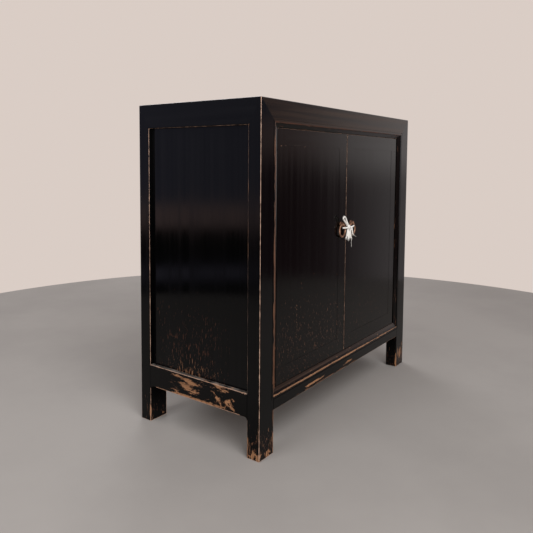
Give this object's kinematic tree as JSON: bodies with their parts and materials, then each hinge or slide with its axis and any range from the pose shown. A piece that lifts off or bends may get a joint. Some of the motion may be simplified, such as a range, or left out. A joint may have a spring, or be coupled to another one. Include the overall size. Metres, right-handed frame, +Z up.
{
  "type": "two-door cabinet",
  "caption": "Square-framed black lacquer cabinet with flush mitred corners, recessed panels and paired pivot-hung doors closed by tied ring pulls.",
  "frame": {"origin": "on the floor, below the middle of the box round the cabinet without its cords", "axes": "+Z up, the doors look along -Y, +X to the right of someone facing the doors"},
  "size_m": [0.905, 0.4371, 0.9],
  "materials": {
    "lacquer": "worn black lacquer, semi-gloss, tan wood showing at the edges",
    "bare_wood": "unfinished, aged",
    "pull_metal": "dark brown patina",
    "cotton": "matt twisted cotton"
  },
  "bodies": {
    "carcass": {"left_front_post": "lacquer", "right_front_post": "lacquer", "left_back_post": "lacquer", "right_back_post": "lacquer", "left_top_rail": "lacquer", "right_top_rail": "lacquer", "left_side_rail": "lacquer", "right_side_rail": "lacquer", "left_side_panel": "lacquer", "right_side_panel": "lacquer", "left_side_battens": "bare_wood", "right_side_battens": "bare_wood", "left_jamb_lining": "lacquer", "right_jamb_lining": "lacquer", "left_shelf_bearer": "bare_wood", "right_shelf_bearer": "bare_wood", "front_top_rail": "lacquer", "back_top_rail": "lacquer", "top_panel": "lacquer", "top_battens": "bare_wood", "front_bottom_rail": "lacquer", "back_bottom_rail": "lacquer", "back_boards": "lacquer", "back_battens": "bare_wood", "head_lining": "lacquer", "sill_lining": "lacquer", "floor_battens": "bare_wood", "floor_board": "bare_wood", "shelf": "bare_wood"},
    "left_door": {"left_hinge_stile": "lacquer", "left_meeting_stile": "lacquer", "left_door_top_rail": "lacquer", "left_door_bottom_rail": "lacquer", "left_door_panel": "lacquer", "left_door_battens": "bare_wood", "left_pull_plate": "pull_metal", "left_pull_staple": "pull_metal"},
    "right_door": {"right_hinge_stile": "lacquer", "right_meeting_stile": "lacquer", "right_door_top_rail": "lacquer", "right_door_bottom_rail": "lacquer", "right_door_panel": "lacquer", "right_door_battens": "bare_wood", "right_pull_plate": "pull_metal", "right_pull_staple": "pull_metal"},
    "left_ring": {"left_pull_ring": "pull_metal", "left_tie_hitch": "cotton", "left_tie_knot": "cotton", "left_tie_arm": "cotton", "left_tie_loop": "cotton", "left_tie_long_tail": "cotton", "left_tie_short_tail": "cotton"},
    "right_ring": {"right_pull_ring": "pull_metal", "right_tie_hitch": "cotton", "right_tie_knot": "cotton", "right_tie_arm": "cotton", "right_tie_stub": "cotton", "right_tie_tail": "cotton"}
  },
  "joints": [
    {"name": "left_door_hinge", "type": "hinge", "parent": "carcass", "child": "left_door", "pos_m": [-0.3605, -0.191, 0.49825], "axis": [0, 0, -1], "range_deg": [0, 100]},
    {"name": "right_door_hinge", "type": "hinge", "parent": "carcass", "child": "right_door", "pos_m": [0.3605, -0.191, 0.49825], "axis": [0, 0, 1], "range_deg": [0, 100]},
    {"name": "left_ring_swing", "type": "hinge", "parent": "left_door", "child": "left_ring", "pos_m": [-0.031, -0.2075, 0.5582], "axis": [-1, 0, 0], "range_deg": [0, 90], "deforming": ["left_tie_loop"]},
    {"name": "right_ring_swing", "type": "hinge", "parent": "right_door", "child": "right_ring", "pos_m": [0.031, -0.2075, 0.5582], "axis": [-1, 0, 0], "range_deg": [0, 90]}
  ]
}
